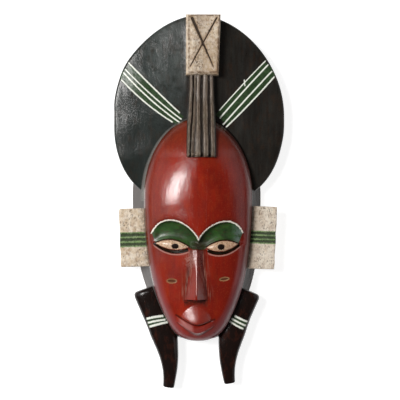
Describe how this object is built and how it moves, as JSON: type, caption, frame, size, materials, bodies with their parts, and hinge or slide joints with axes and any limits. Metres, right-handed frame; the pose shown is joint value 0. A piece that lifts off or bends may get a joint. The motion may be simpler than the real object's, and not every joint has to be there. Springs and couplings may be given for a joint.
{
  "type": "carved wooden face mask",
  "caption": "Carved and painted wooden wall mask: long face with slit eyes, oval crest board with block and fluted tress, ear blocks and down-curving horns, hollow behind.",
  "frame": {"origin": "on the surface the mask lies on, under the middle of its outline", "axes": "+Z is out of the face, +Y runs from the chin to the top of the crest, +X is to the right of someone looking at the face. The mask lies on its back."},
  "size_m": [0.2416, 0.5272, 0.0913],
  "materials": {
    "painted_wood": "satin paint, red face, black crest, horns and sides"
  },
  "bodies": {
    "root": {"mask": "painted_wood"}
  },
  "joints": []
}
